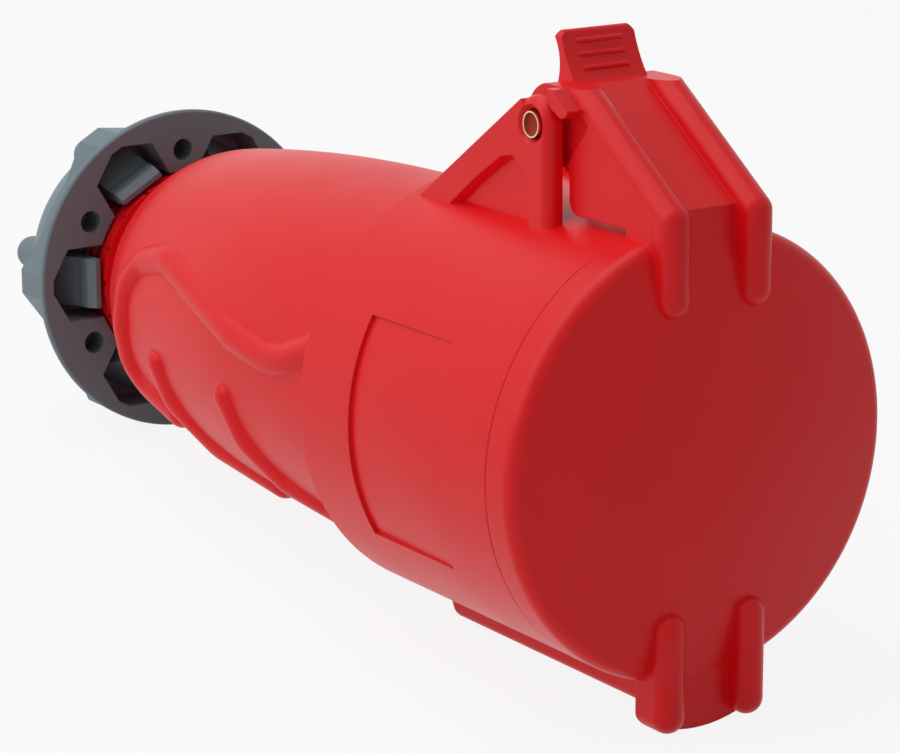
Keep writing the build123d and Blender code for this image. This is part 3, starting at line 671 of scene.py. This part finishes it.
@dataclass
class Studio:
    """Pale floor, soft lamps and an even white world."""

    floor_size: float = 8.0
    floor_gap_mm: float = 0.05
    # Share of plain white in the floor as it is seen; the rest is lit paper, which keeps the shadow
    plain_white: float = 0.88
    sky_light: float = 0.29
    middle: tuple[float, float, float] = (0.0, 0.08, 0.0)
    lamps: tuple[SoftLamp, ...] = (
        SoftLamp("lamp_overhead", (-0.25, 0.25, 1.1), size=0.9, power=4.6),
        SoftLamp("lamp_left", (-1.0, 0.35, 0.7), size=1.0, power=4.4),
    )

    def floor(self, cad: dict[str, bpy.types.Object]) -> bpy.types.Object:
        """Lay the pale floor under the two places that the coupler rests on.

        Args:
            cad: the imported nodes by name.

        Returns:
            The floor's object.
        """
        (y0, z0), (y1, z1) = resting_points(cad, self.middle[1])
        slope = (z1 - z0) / (y1 - y0)
        half = self.floor_size / 2
        low = z0 - self.floor_gap_mm * MM
        square = ((-half, -half), (half, -half), (half, half), (-half, half))
        corners = [(x, y, low + slope * (y - y0)) for x, y in square]
        mesh = bpy.data.meshes.new("studio_floor")
        mesh.from_pydata(corners, [], [(0, 1, 2, 3)])
        floor = bpy.data.objects.new("studio_floor", mesh)
        bpy.context.scene.collection.objects.link(floor)
        material, tree = new_material("studio_floor_paper")
        paper = add_node(tree, "ShaderNodeBsdfDiffuse", values={"Color": linear_colour("EEEEEE")})
        white = add_node(
            tree, "ShaderNodeEmission", values={"Color": linear_colour("FFFFFF"), "Strength": 1.0}
        )
        share = add_node(
            tree, "ShaderNodeMath", {"operation": "MULTIPLY"},
            {1: self.plain_white}, {0: background_rays(tree)},
        )
        mixed = add_node(
            tree, "ShaderNodeMixShader",
            links={0: share.outputs[0], 1: paper.outputs["BSDF"], 2: white.outputs["Emission"]},
        )
        add_node(tree, "ShaderNodeOutputMaterial", links={"Surface": mixed.outputs["Shader"]})
        mesh.materials.append(material)
        return floor

    def world(self) -> None:
        """Surround the set with even white light and a white background."""
        world = bpy.data.worlds.new("studio_white")
        world.use_nodes = True
        tree = world.node_tree
        tree.nodes.clear()
        strength = add_node(
            tree, "ShaderNodeMapRange", values={"To Min": self.sky_light, "To Max": 1.0},
            links={"Value": background_rays(tree)},
        )
        sky = add_node(
            tree, "ShaderNodeBackground", values={"Color": linear_colour("FFFFFF")},
            links={"Strength": strength.outputs["Result"]},
        )
        add_node(tree, "ShaderNodeOutputWorld", links={"Surface": sky.outputs["Background"]})
        bpy.context.scene.world = world

    def hang(self, soft: SoftLamp) -> None:
        """Hang one soft square lamp that faces the coupler's middle.

        Args:
            soft: the lamp's name, place, size and power.
        """
        light = bpy.data.lights.new(soft.name, "AREA")
        light.shape = "SQUARE"
        light.size = soft.size
        light.energy = soft.power
        lamp = bpy.data.objects.new(soft.name, light)
        place = Vector(soft.place)
        way = Vector(self.middle) - place
        lamp.matrix_world = Matrix.Translation(place) @ way.to_track_quat("-Z", "Y").to_matrix().to_4x4()
        bpy.context.scene.collection.objects.link(lamp)

    def build(self, cad: dict[str, bpy.types.Object]) -> None:
        """Set up floor, world and lamps.

        Args:
            cad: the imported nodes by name.
        """
        self.floor(cad)
        self.world()
        for soft in self.lamps:
            self.hang(soft)


@dataclass
class PhotoCamera:
    """Camera at the photograph's place, found by fitting the coupler's circles to the picture."""

    azimuth: float = -34.33
    elevation: float = 14.355
    roll: float = -0.198
    aside_mm: float = -42.18
    above_mm: float = 17.42
    back_mm: float = 575.36
    front_offset_mm: float = 13.0
    lens_mm: float = 129.48
    shift_x: float = -0.01947
    shift_y: float = -0.01853

    def build(self) -> bpy.types.Object:
        """Place the camera and make it the scene's own.

        Returns:
            The camera's object.
        """
        turn, rise, roll = (math.radians(v) for v in (self.azimuth, self.elevation, self.roll))
        back = Vector(
            (math.sin(turn) * math.cos(rise), -math.cos(turn) * math.cos(rise), math.sin(rise))
        )
        level = Vector((math.cos(turn), math.sin(turn), 0.0))
        raised = back.cross(level)
        right = math.cos(roll) * level + math.sin(roll) * raised
        up = math.cos(roll) * raised - math.sin(roll) * level
        place = right * self.aside_mm + up * self.above_mm + back * self.back_mm
        place.y -= self.front_offset_mm
        data = bpy.data.cameras.new("photo_camera")
        data.lens = self.lens_mm
        data.sensor_width = 36.0
        data.shift_x = self.shift_x
        data.shift_y = self.shift_y
        data.clip_start = 0.01
        camera = bpy.data.objects.new("photo_camera", data)
        axes = Matrix((right, up, back)).transposed().to_4x4()
        camera.matrix_world = Matrix.Translation(place * MM) @ axes
        bpy.context.scene.collection.objects.link(camera)
        bpy.context.scene.camera = camera
        return camera


def main() -> None:
    """Build every sub-assembly round the CAD frame, then the studio and the camera."""
    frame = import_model()
    shelf = FinishShelf()
    bpy.context.scene.view_settings.view_transform = "Standard"
    for group in (Shell(), Lid(), ContactSet(), GripAndGland()):
        group.build(shelf, frame["nodes"])
        LOG.info("%s done", type(group).__name__)
    LOG.info("%s done", LidSpring().build(shelf).name)
    PaintedReflectionPinCore().build(shelf, frame["nodes"])
    Studio().build(frame["nodes"])
    PhotoCamera().build()


if __name__ == "__main__":
    main()
